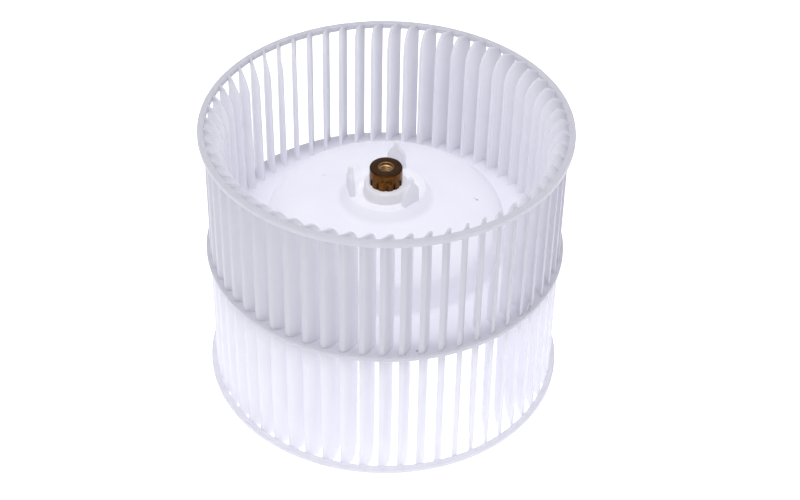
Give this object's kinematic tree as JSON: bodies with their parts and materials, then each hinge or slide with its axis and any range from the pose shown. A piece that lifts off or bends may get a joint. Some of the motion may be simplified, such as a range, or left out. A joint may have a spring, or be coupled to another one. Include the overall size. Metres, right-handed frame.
{
  "type": "double-inlet blower wheel of a range hood",
  "caption": "White moulded double-inlet blower wheel of a range hood, with curved blades between end rings, a domed hub and a threaded brass insert.",
  "frame": {"origin": "on the wheel's axis, in the plane of the lower ring's outer face, on which the wheel stands", "axes": "+Z along the wheel's axis, from the motor side to the side with the insert; the blades lean clockwise towards their tips, seen from +Z"},
  "size_m": [0.15, 0.15, 0.122],
  "materials": {
    "white_moulding": "satin white, slightly translucent moulded plastic",
    "insert_brass": "tarnished, turned, with dark oxide"
  },
  "bodies": {
    "root": {"blower_wheel": "white_moulding", "hub_insert": "insert_brass"}
  },
  "joints": []
}
